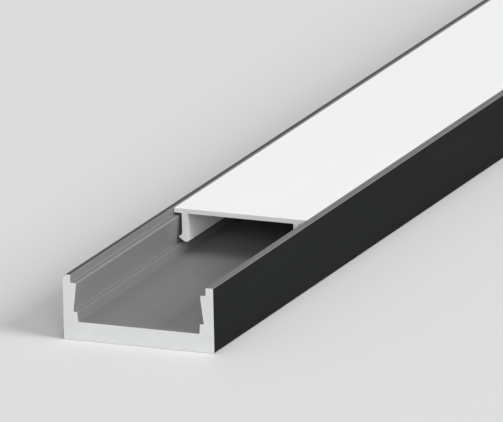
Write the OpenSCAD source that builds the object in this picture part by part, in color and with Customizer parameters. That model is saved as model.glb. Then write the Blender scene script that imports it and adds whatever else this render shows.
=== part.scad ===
// Surface-mount aluminium profile for LED strip, with a snap-in diffuser cover.
// The channel lies along Y, its near end at -Y. The origin is the centre of its underside, +Z is up.

/* [Channel] */
// Length of the channel, and of the cover
channel_l = 300; // [100:10:2000]
// Width over the two walls
channel_w = 17; // [12:0.5:30]
// Height from the underside to the top of the lips
channel_h = 7; // [6:0.25:14]
// Thickness of the floor
floor_t = 2; // [1:0.1:2.6]
// Thickness of each wall at its lip, beside the cover
lip_t = 0.87; // [0.7:0.01:1.2]

/* [Snap ridge] */
// Depth of the rebate between the lips, which takes the edge of the cover
rebate_d = 0.85; // [0.7:0.05:1.2]
// Width of the ledge at the bottom of the rebate
ledge_w = 0.66; // [0.5:0.02:1]
// How far the wall falls back below the ledge, which makes the undercut
undercut_d = 0.38; // [0.26:0.02:0.5]

/* [Strip guide] */
// Height of the guide along each side of the floor
guide_h = 1.05; // [0.5:0.05:1.5]
// How far the guide stands in from the bottom of the undercut
guide_w = 0.43; // [0.3:0.01:0.7]
// How much wider the guide is where it meets the floor
guide_draft = 0.09; // [0:0.01:0.2]

/* [Channel edges] */
// Radius of the two long edges of the underside
foot_r = 0.18; // [0.06:0.02:0.6]
// Width of the bevel along the outside of the left lip
left_bevel = 0.36; // [0.04:0.02:0.44]
// Width of the bevel along the outside of the right lip
right_bevel = 0.1; // [0.04:0.02:0.44]
// Radius of the ledge's inner edge
ledge_r = 0.2; // [0.06:0.02:0.32]

/* [Cover] */
// Thickness of the cover's band
cover_t = 0.52; // [0.4:0.02:0.6]
// Distance from the channel's near end back to the cover's near end
set_back = 27; // [0:0.5:60]

/* [Snap legs] */
// Thickness of each leg
leg_t = 0.66; // [0.6:0.02:1]
// Width of the flat under each leg
foot_w = 0.4; // [0.3:0.02:0.54]
// Height of the barb's tip above the flat
barb_h = 0.48; // [0.36:0.02:0.8]
// Height that the top of the barb slopes down over
hook_h = 0.33; // [0.17:0.02:0.45]
// Radius between each leg and the underside of the band
leg_fillet = 0.08; // [0.05:0.01:0.3]

/* [Small edges] */
// Radius of every small edge and corner of both pieces
edge_r = 0.07; // [0.03:0.01:0.12]

/* [Fits] */
// Gap between each edge of the cover and the lip beside it
side_gap = 0.07; // [0.05:0.01:0.2]
// Gap between the cover's band and the ledge under it
seat_gap = 0.28; // [0.05:0.01:0.3]
// Gap between each leg and the ridge beside it
leg_gap = 0.28; // [0.2:0.01:0.5]
// Gap between each foot and the top of the guide under it
foot_gap = 0.3; // [0.1:0.02:0.5]
// Gap between each barb's tip and the slanted wall of the undercut
barb_gap = 0.18; // [0.05:0.01:0.2]

/* [Hidden] */

// Flat steps along each rounded edge
arc_steps = 6;

near_y = -channel_l / 2;

// The channel's inner wall, from the lip down, as distances from the middle
half_w = channel_w / 2;
lip_x = half_w - lip_t;
ridge_x = lip_x - ledge_w;
undercut_x = ridge_x + undercut_d;
guide_x = undercut_x - guide_w;
guide_foot_x = guide_x - guide_draft;

// Heights above the underside
guide_z = floor_t + guide_h;
ledge_z = channel_h - rebate_d;
band_z = ledge_z + seat_gap;
foot_z = guide_z + foot_gap;
tip_z = foot_z + barb_h;
hook_z = tip_z + hook_h;

// The cover's parts, as distances from the middle
band_x = lip_x - side_gap;
leg_x = ridge_x - leg_gap;
leg_inner_x = leg_x - leg_t;
tip_x = slant_x(tip_z) - barb_gap;

// Distance from the middle to the undercut's slanted wall at height z
function slant_x(z) = undercut_x - undercut_d * (z - guide_z) / (ledge_z - guide_z);

// Right side of each section, anticlockwise from below, as [x, z, corner radius]
function channel_side(bevel) = [
    [half_w, 0, foot_r],
    [half_w, channel_h - bevel, 0],
    [half_w - bevel, channel_h, 0],
    [lip_x, channel_h, edge_r],
    [lip_x, ledge_z, edge_r],
    [ridge_x, ledge_z, ledge_r],
    [undercut_x, guide_z, edge_r],
    [guide_x, guide_z, edge_r],
    [guide_foot_x, floor_t, edge_r]
];
cover_side = [
    [leg_inner_x, band_z, leg_fillet],
    [leg_inner_x, foot_z, edge_r],
    [leg_inner_x + foot_w, foot_z, edge_r],
    [tip_x, tip_z, edge_r],
    [leg_x, hook_z, edge_r],
    [leg_x, band_z, edge_r],
    [band_x, band_z, edge_r],
    [band_x, band_z + cover_t, edge_r]
];

// The mirror image of a side, in reverse order, so that it follows the right side round
function mirrored(side) = [for (i = [len(side) - 1 : -1 : 0]) [-side[i][0], side[i][1], side[i][2]]];

function unit(v) = v / norm(v);

// Points of the arc of radius r that rounds a corner, from the edge before it to the edge after it
function corner_arc(before, corner, after, r) =
    let (
        back = unit(before - corner),
        ahead = unit(after - corner),
        half_angle = acos(back * ahead) / 2,
        inward = unit(back + ahead),
        centre = corner + inward * r / sin(half_angle),
        middle = atan2(-inward[1], -inward[0]),
        turn = (cross(ahead, back) > 0 ? 1 : -1) * (90 - half_angle)
    )
    [for (i = [0 : arc_steps])
        let (a = middle + turn * (2 * i / arc_steps - 1))
        centre + r * [cos(a), sin(a)]];

// Fills an anticlockwise outline of [x, z, corner radius]
module rounded_outline(outline) {
    n = len(outline);
    corner = [for (p = outline) [p[0], p[1]]];
    polygon([for (i = [0 : n - 1])
        each outline[i][2] > 0
            ? corner_arc(corner[(i + n - 1) % n], corner[i], corner[(i + 1) % n], outline[i][2])
            : [corner[i]]]);
}

// Extrudes a section along Y, from its near end at y0
module extruded_along_y(y0, l) {
    translate([0, y0 + l, 0])
        rotate([90, 0, 0])
            linear_extrude(height = l)
                children();
}

// U-shaped extrusion with a rebate, a snap ridge and a strip guide along each wall
module channel() {
    color("silver")
        extruded_along_y(near_y, channel_l)
            rounded_outline(concat(channel_side(right_bevel), mirrored(channel_side(left_bevel))));
}

// Flat band with two barbed legs, which clicks in between the walls and slides along them
module diffuser_cover() {
    color("white")
        extruded_along_y(near_y + set_back, channel_l)
            rounded_outline(concat(cover_side, mirrored(cover_side)));
}

channel();
diffuser_cover();
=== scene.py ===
"""LED strip aluminium profile: an anodised channel, and its opal snap-in cover that is drawn back."""

import math

import bmesh
import bpy
from mathutils import Matrix, Vector


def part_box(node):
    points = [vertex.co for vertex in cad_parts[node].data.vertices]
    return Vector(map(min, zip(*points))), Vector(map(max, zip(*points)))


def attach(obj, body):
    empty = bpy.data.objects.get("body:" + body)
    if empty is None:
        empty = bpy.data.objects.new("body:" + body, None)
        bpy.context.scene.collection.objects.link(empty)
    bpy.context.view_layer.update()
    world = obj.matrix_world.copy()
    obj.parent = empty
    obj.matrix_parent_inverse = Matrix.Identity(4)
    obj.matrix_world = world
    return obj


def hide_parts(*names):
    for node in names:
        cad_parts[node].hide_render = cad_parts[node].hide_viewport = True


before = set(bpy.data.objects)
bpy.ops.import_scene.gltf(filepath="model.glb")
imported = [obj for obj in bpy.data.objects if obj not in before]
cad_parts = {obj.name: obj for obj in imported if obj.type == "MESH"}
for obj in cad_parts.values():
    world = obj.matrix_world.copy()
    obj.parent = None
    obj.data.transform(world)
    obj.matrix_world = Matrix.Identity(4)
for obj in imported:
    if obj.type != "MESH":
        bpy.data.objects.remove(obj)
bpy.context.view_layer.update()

MM = 0.001

# The channel's corners, and the point where its near end stands on the floor
channel_low, channel_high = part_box("channel")
near_end = Vector((0, channel_low.y, 0))

# How far the cut edges of each piece are eased
CHANNEL_EASE = 0.05 * MM
COVER_EASE = 0.03 * MM

# Points of a CAD mesh that lie closer than this are one point
MERGE_DISTANCE = 0.0005 * MM

# Neighbouring faces within the first angle are one flat face, and past the second they meet in a sharp edge
FLAT_ANGLE = math.radians(1)
SHARP_ANGLE = math.radians(28)

# A face is part of a cut end where its normal points along Y by more than this, either way
END_FACING = 0.9

# The darkest and the lightest colour of each finish
INNER_METAL = (0.215, 0.217, 0.218), (0.358, 0.360, 0.361)
# The outer metal colour is painted shade: the outside is the same anodising as the inside, coloured much
# darker so the outer walls look shaded.
OUTER_PAINTED_SHADE_METAL = (0.029, 0.0315, 0.0305), (0.050, 0.0535, 0.052)
BARE_METAL = (0.68, 0.695, 0.69), (0.90, 0.915, 0.91)
OPAL = (0.875, 0.879, 0.878), (0.91, 0.912, 0.91)
CUT_OPAL = (0.69, 0.693, 0.692), (0.89, 0.892, 0.89)

# How deep the painted shade of the outer walls reaches round their edges
OUTSIDE_DEPTH = 0.03 * MM

# How far the left lip's bevel and the underside's rounded edges reach in, both also in that painted shade
LEFT_BEVEL = 0.36 * MM
FOOT_EDGE = 0.2 * MM

# How far the tops of the lips reach in, up to their rounded inner edge, and how much of that painted shade
# each lip gets, more on the left than on the right
LIP_WIDTH = 0.83 * MM
LEFT_LIP_PAINTED_SHADE = 0.7
RIGHT_LIP_PAINTED_SHADE = 0.25

# The hub of the saw that cut the channel's ends, and the width of one mark of its teeth
SAW_HUB = (-70 * MM, 0, 95 * MM)
SAW_MARK = 0.16 * MM

# The studio: its colours, how strongly the world lights the object, and where the floor fades out
BACKDROP = (0.74, 0.74, 0.74)
FLOOR_COLOUR = (0.73, 0.73, 0.727)
WORLD_LIGHT = 0.40
FLOOR_RADIUS = 1.2
FADE_START = 0.45 * FLOOR_RADIUS
FADE_END = 0.95 * FLOOR_RADIUS

# The softboxes, and the point that they look at
LIT_POINT = Vector((0, -0.1, 0))
LAMP_DISTANCE = 5.0
LAMP_SIZE = 2.5

# The camera's place, measured from the near end of the channel, in degrees and metres
CAMERA_AZIMUTH = 23.46
CAMERA_ELEVATION = 15.90
CAMERA_ROLL = -1.26
CAMERA_LENS = 1300
CAMERA_DISTANCE = 1.8807
CAMERA_RIGHT = 11.646 * MM
CAMERA_UP = 14.017 * MM


class Value:
    """A shader socket that Python expressions can be written with."""

    def __init__(self, finish, socket):
        self.finish = finish
        self.socket = socket

    def __add__(self, other):
        return self.finish.maths("ADD", self, other)

    def __radd__(self, other):
        return self.finish.maths("ADD", other, self)

    def __sub__(self, other):
        return self.finish.maths("SUBTRACT", self, other)

    def __rsub__(self, other):
        return self.finish.maths("SUBTRACT", other, self)

    def __mul__(self, other):
        return self.finish.maths("MULTIPLY", self, other)

    def __rmul__(self, other):
        return self.finish.maths("MULTIPLY", other, self)

    def __gt__(self, other):
        return self.finish.maths("GREATER_THAN", self, other)

    def __lt__(self, other):
        return self.finish.maths("LESS_THAN", self, other)

    def __abs__(self):
        return self.finish.maths("ABSOLUTE", self, 0.0)


class Finish:
    """A material, or the world, while its nodes are laid out."""

    def __init__(self, tree):
        self.tree = tree
        tree.nodes.clear()

    def add(self, kind, settings=None, inputs=None, output=0):
        """Adds one node: its settings come first, then the values or links of its sockets."""
        node = self.tree.nodes.new("ShaderNode" + kind)
        for name, setting in (settings or {}).items():
            setattr(node, name, setting)
        for name, value in (inputs or {}).items():
            if isinstance(value, Value):
                self.tree.links.new(value.socket, node.inputs[name])
            else:
                node.inputs[name].default_value = value
        return Value(self, node.outputs[output]) if node.outputs else None

    def maths(self, operation, first, second):
        return self.add("Math", {"operation": operation}, {0: first, 1: second})

    def place(self):
        """The point in the piece's own frame, in metres."""
        return self.add("TexCoord", output="Object")

    def along(self, axis):
        """How far that point lies along the X, Y or Z axis."""
        return self.add("SeparateXYZ", inputs={"Vector": self.place()}, output=axis)

    def noise(self, x, y, z, detail):
        """Smooth noise from 0 to 1, in cells of x by y by z metres."""
        cells = self.add("Mapping", inputs={"Vector": self.place(), "Scale": (1 / x, 1 / y, 1 / z)})
        return self.add("TexNoise", inputs={"Vector": cells, "Scale": 1.0, "Detail": detail})

    def blend(self, factor, low, high):
        """A colour between low and high."""
        sockets = {"Factor": factor, 6: (*low, 1), 7: (*high, 1)}
        return self.add("Mix", {"data_type": "RGBA"}, sockets, output=2)

    def bump(self, height, depth):
        """A normal for height times depth, in metres."""
        return self.add("Bump", inputs={"Height": height, "Distance": depth, "Strength": 1.0})

    def end(self, surface, kind="OutputMaterial"):
        self.add(kind, inputs={"Surface": surface})


def new_finish(name):
    """A new material, and the Finish that lays out its nodes."""
    material = bpy.data.materials.new(name)
    material.use_nodes = True
    return material, Finish(material.node_tree)


def channel_painted_shade_mask(f):
    """How much painted shade the channel gets: 1 on the outer walls, underside and left bevel, less on the
    tops of the lips, and 0 inside.
    """
    x = f.along("X")
    z = f.along("Z")
    side = abs(x) > channel_high.x - OUTSIDE_DEPTH
    under = z < OUTSIDE_DEPTH
    foot = abs(x) - z > channel_high.x - FOOT_EDGE
    bevel = z - x > channel_high.z + channel_high.x - LEFT_BEVEL - OUTSIDE_DEPTH
    left_lip = x < LIP_WIDTH - channel_high.x
    right_lip = x > channel_high.x - LIP_WIDTH
    # Painted shade on the lip tops, heavier on the left lip than on the right.
    lips_painted_shade = LEFT_LIP_PAINTED_SHADE * left_lip + RIGHT_LIP_PAINTED_SHADE * right_lip
    return f.maths("MINIMUM", side + under + foot + bevel + lips_painted_shade, 1.0)


def anodised_aluminium():
    """Satin anodising over faint die lines that run the length of the extrusion, with painted shade on its
    outside: a much darker metal colour there.
    """
    material, f = new_finish("satin_anodised_aluminium_and_painted_shade")
    fine = f.noise(0.10 * MM, 90 * MM, 0.10 * MM, detail=3.0)
    broad = f.noise(0.9 * MM, 260 * MM, 0.9 * MM, detail=2.0)
    cloud = f.noise(7 * MM, 24 * MM, 7 * MM, detail=3.0)
    tone = 0.45 * fine + 0.35 * broad + 0.2 * cloud
    roughness = 0.34 + 0.10 * fine + 0.04 * cloud
    lines = f.bump(fine + 0.6 * broad, 0.0012 * MM)
    inner = f.add("BsdfPrincipled", inputs={
        "Base Color": f.blend(tone, *INNER_METAL),
        "Metallic": 0.42,
        "Roughness": roughness,
        "Specular IOR Level": 0.25,
        "Specular Tint": (0.1, 0.1, 0.1, 1),
        "Normal": lines,
    })
    # A second copy of the metal, coloured much darker: painted shade for the outer walls, underside, left
    # bevel and part of the lip tops.
    outer = f.add("BsdfPrincipled", inputs={
        "Base Color": f.blend(tone, *OUTER_PAINTED_SHADE_METAL),
        "Metallic": 1.0,
        "Roughness": roughness,
        "Specular Tint": (0.45, 0.45, 0.45, 1),
        "Normal": lines,
    })
    f.end(f.add("MixShader", inputs={0: channel_painted_shade_mask(f), 1: inner, 2: outer}))
    return material


def sawn_aluminium():
    """Bright bare metal with the faint arcs that a circular saw leaves."""
    material, f = new_finish("saw_cut_aluminium")
    from_hub = f.add("VectorMath", {"operation": "SUBTRACT"}, {0: f.place(), 1: SAW_HUB})
    across = f.add("VectorMath", {"operation": "MULTIPLY"}, {0: from_hub, 1: (1, 0, 1)})
    radius = f.add("VectorMath", {"operation": "LENGTH"}, {0: across}, output="Value")
    marks = {"W": radius, "Scale": 1 / SAW_MARK, "Detail": 3.0}
    teeth = f.add("TexNoise", {"noise_dimensions": "1D"}, marks)
    cloud = f.noise(1.6 * MM, 1.6 * MM, 1.6 * MM, detail=3.0)
    surface = f.add("BsdfPrincipled", inputs={
        "Base Color": f.blend(0.6 * teeth + 0.4 * cloud, *BARE_METAL),
        "Metallic": 1.0,
        "Roughness": 0.46 + 0.12 * teeth,
        "Normal": f.bump(teeth, 0.0015 * MM),
    })
    f.end(surface)
    return material


def opal_plastic():
    """Milky polycarbonate with a soft sheen and hardly visible draw lines."""
    material, f = new_finish("opal_polycarbonate")
    lines = f.noise(0.5 * MM, 200 * MM, 0.5 * MM, detail=2.0)
    cloud = f.noise(5 * MM, 18 * MM, 5 * MM, detail=2.0)
    surface = f.add("BsdfPrincipled", inputs={
        "Base Color": f.blend(0.5 * lines + 0.5 * cloud, *OPAL),
        "Roughness": 0.44 + 0.10 * cloud + 0.06 * lines,
        "IOR": 1.5,
        "Specular IOR Level": 0.35,
        "Subsurface Weight": 0.15,
        "Subsurface Radius": (1.0, 0.95, 0.9),
        "Subsurface Scale": 0.25 * MM,
        "Normal": f.bump(lines, 0.0010 * MM),
    })
    f.end(surface)
    return material


def cut_opal_plastic():
    """The cover's sawn ends: a little greyer, with streaks across the width."""
    material, f = new_finish("cut_opal_polycarbonate")
    streaks = f.noise(4 * MM, 1 * MM, 0.09 * MM, detail=3.0)
    surface = f.add("BsdfPrincipled", inputs={
        "Base Color": f.blend(streaks, *CUT_OPAL),
        "Roughness": 0.50 + 0.20 * streaks,
        "IOR": 1.58,
        "Normal": f.bump(streaks, 0.003 * MM),
    })
    f.end(surface)
    return material


def new_object(name, data):
    """An object that is shown in the scene, at the origin."""
    thing = bpy.data.objects.new(name, data)
    bpy.context.scene.collection.objects.link(thing)
    return thing


def is_end(face):
    return abs(face.normal.y) > END_FACING


def dressed_extrusion(node, name, ease, long_finish, end_finish):
    """A copy of a CAD extrusion, with its cut edges eased and its two ends in a finish of their own."""
    bm = bmesh.new()
    bm.from_mesh(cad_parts[node].data)
    bmesh.ops.remove_doubles(bm, verts=bm.verts, dist=MERGE_DISTANCE)
    bmesh.ops.dissolve_limit(bm, angle_limit=FLAT_ANGLE, verts=bm.verts, edges=bm.edges)
    bm.normal_update()
    rims = [edge for edge in bm.edges if sum(is_end(face) for face in edge.link_faces) == 1]
    bmesh.ops.bevel(bm, geom=rims, offset=ease, affect="EDGES", segments=2, profile=0.5, material=-1)
    bm.normal_update()
    for face in bm.faces:
        face.smooth = True
        face.material_index = int(is_end(face))
    mesh = bpy.data.meshes.new(name)
    bm.to_mesh(mesh)
    bm.free()
    mesh.set_sharp_from_angle(angle=SHARP_ANGLE)
    mesh.materials.append(long_finish)
    mesh.materials.append(end_finish)
    piece = new_object(name, mesh)
    even = piece.modifiers.new("even_shading", "WEIGHTED_NORMAL")
    even.keep_sharp = True
    return piece


def anodised_channel():
    """The U-shaped channel, in place of its CAD solid."""
    finishes = anodised_aluminium(), sawn_aluminium()
    channel = dressed_extrusion("channel", "anodised_channel", CHANNEL_EASE, *finishes)
    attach(channel, "channel")
    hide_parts("channel")


def opal_cover():
    """The snap-in cover, in place of its CAD solid."""
    finishes = opal_plastic(), cut_opal_plastic()
    cover = dressed_extrusion("diffuser_cover", "opal_cover", COVER_EASE, *finishes)
    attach(cover, "cover")
    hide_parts("diffuser_cover")


def studio_floor():
    """A pale round floor that fades into the backdrop's colour well away from the object."""
    bm = bmesh.new()
    bmesh.ops.create_circle(bm, cap_ends=True, segments=96, radius=FLOOR_RADIUS)
    mesh = bpy.data.meshes.new("studio_floor")
    bm.to_mesh(mesh)
    bm.free()
    floor = new_object("studio_floor", mesh)
    material, f = new_finish("pale_studio_floor")
    distance = f.add("VectorMath", {"operation": "LENGTH"}, {0: f.place()}, output="Value")
    reach = {"Value": distance, "From Min": FADE_START, "From Max": FADE_END}
    fade = f.add("MapRange", {"interpolation_type": "SMOOTHSTEP"}, reach)
    board = f.add("BsdfPrincipled", inputs={
        "Base Color": (*FLOOR_COLOUR, 1),
        "Roughness": 0.6,
        "Specular IOR Level": 0.2,
    })
    far = f.add("Emission", inputs={"Color": (*BACKDROP, 1), "Strength": 1.0})
    f.end(f.add("MixShader", inputs={0: fade, 1: board, 2: far}))
    mesh.materials.append(material)


def studio_world():
    """Pale to the camera, in reflections and through what is clear, and dimmer as a light."""
    world = bpy.data.worlds.new("studio")
    world.use_nodes = True
    bpy.context.scene.world = world
    f = Finish(world.node_tree)
    camera_ray = f.add("LightPath", output="Is Camera Ray")
    glossy_ray = f.add("LightPath", output="Is Glossy Ray")
    transmission_ray = f.add("LightPath", output="Is Transmission Ray")
    shown = f.maths("MINIMUM", camera_ray + glossy_ray + transmission_ray, 1.0)
    strength = WORLD_LIGHT + (1 - WORLD_LIGHT) * shown
    f.end(f.add("Background", inputs={"Color": (*BACKDROP, 1), "Strength": strength}), "OutputWorld")


def softbox(name, direction, watts):
    """A square area light in a direction from the lit point, turned towards it."""
    lamp = bpy.data.lights.new(name, "AREA")
    lamp.size = LAMP_SIZE
    lamp.energy = watts
    light = new_object(name, lamp)
    towards = Vector(direction).normalized()
    light.location = LIT_POINT + towards * LAMP_DISTANCE
    light.rotation_euler = towards.to_track_quat("Z", "Y").to_euler()


def camera():
    """The photograph's view: a long lens, from the front right, a little above the floor."""
    azimuth = math.radians(CAMERA_AZIMUTH)
    elevation = math.radians(CAMERA_ELEVATION)
    roll = math.radians(CAMERA_ROLL)
    back = Vector((
        math.sin(azimuth) * math.cos(elevation),
        -math.cos(azimuth) * math.cos(elevation),
        math.sin(elevation),
    ))
    level = Vector((math.cos(azimuth), math.sin(azimuth), 0))
    rise = back.cross(level)
    right = level * math.cos(roll) + rise * math.sin(roll)
    up = rise * math.cos(roll) - level * math.sin(roll)
    lens = bpy.data.cameras.new("camera")
    lens.lens = CAMERA_LENS
    lens.clip_start = 0.1
    lens.clip_end = 60
    eye = new_object("camera", lens)
    eye.location = near_end + right * CAMERA_RIGHT + up * CAMERA_UP + back * CAMERA_DISTANCE
    eye.rotation_euler = Matrix((right, up, back)).transposed().to_euler()
    bpy.context.scene.camera = eye


anodised_channel()
opal_cover()
studio_floor()
studio_world()
softbox("key", (0.0, -0.05, 1.0), watts=54)
softbox("right_fill", (0.93, -0.08, 0.52), watts=196)
softbox("front_fill", (0.50, -1.0, 0.42), watts=103)
camera()

bpy.context.scene.view_settings.view_transform = "Standard"
